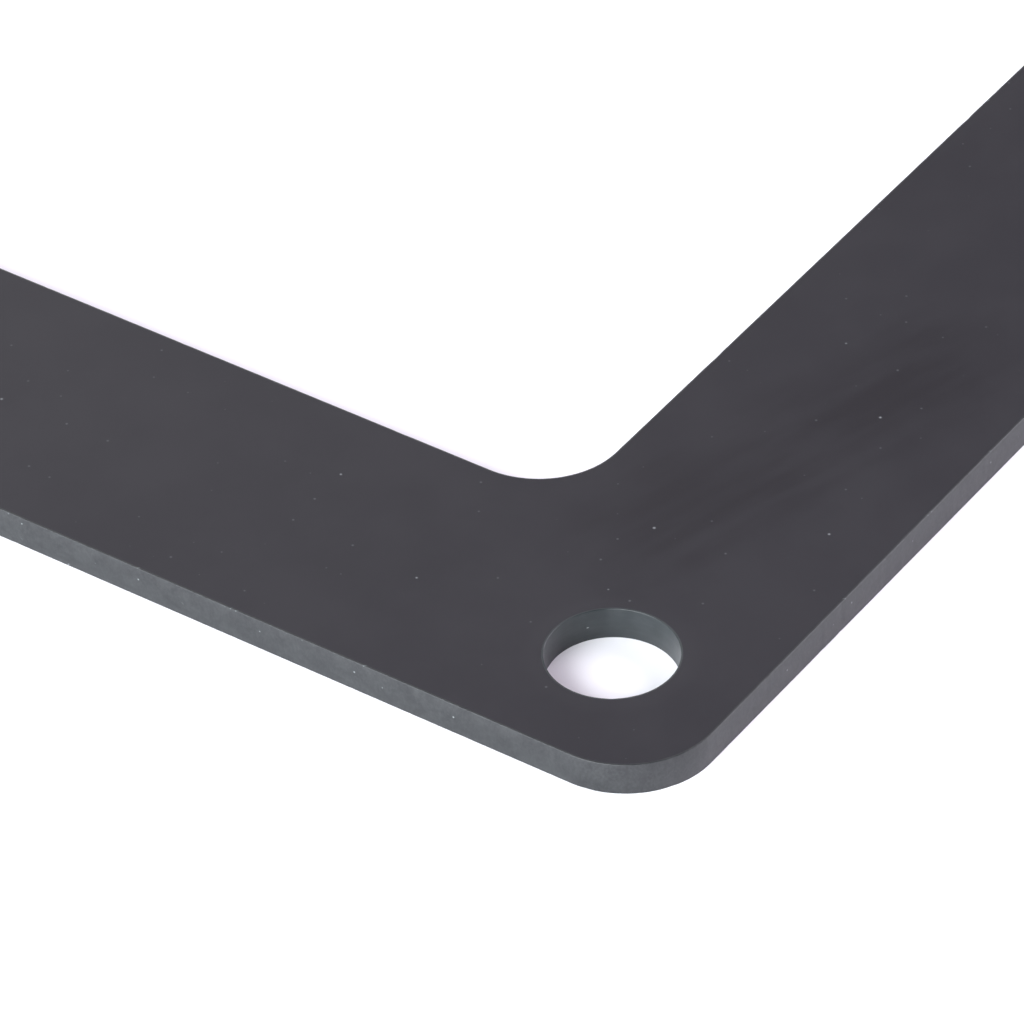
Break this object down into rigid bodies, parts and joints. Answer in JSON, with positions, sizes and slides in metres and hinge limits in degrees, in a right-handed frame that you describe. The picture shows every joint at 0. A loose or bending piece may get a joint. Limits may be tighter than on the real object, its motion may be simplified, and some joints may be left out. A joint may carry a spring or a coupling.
{
  "type": "kick plate",
  "caption": "Flat L-shaped kick plate of rigid dark sheet that bolts round a corner, with a clearance hole at the corner and near the end of each arm.",
  "frame": {"origin": "on the corner hole's axis, at the back face", "axes": "+X along one arm, +Y along the other, +Z out of the front face"},
  "size_m": [0.15, 0.15, 0.003],
  "materials": {
    "sheet": "satin"
  },
  "bodies": {
    "root": {"kick_plate": "sheet"}
  },
  "joints": []
}
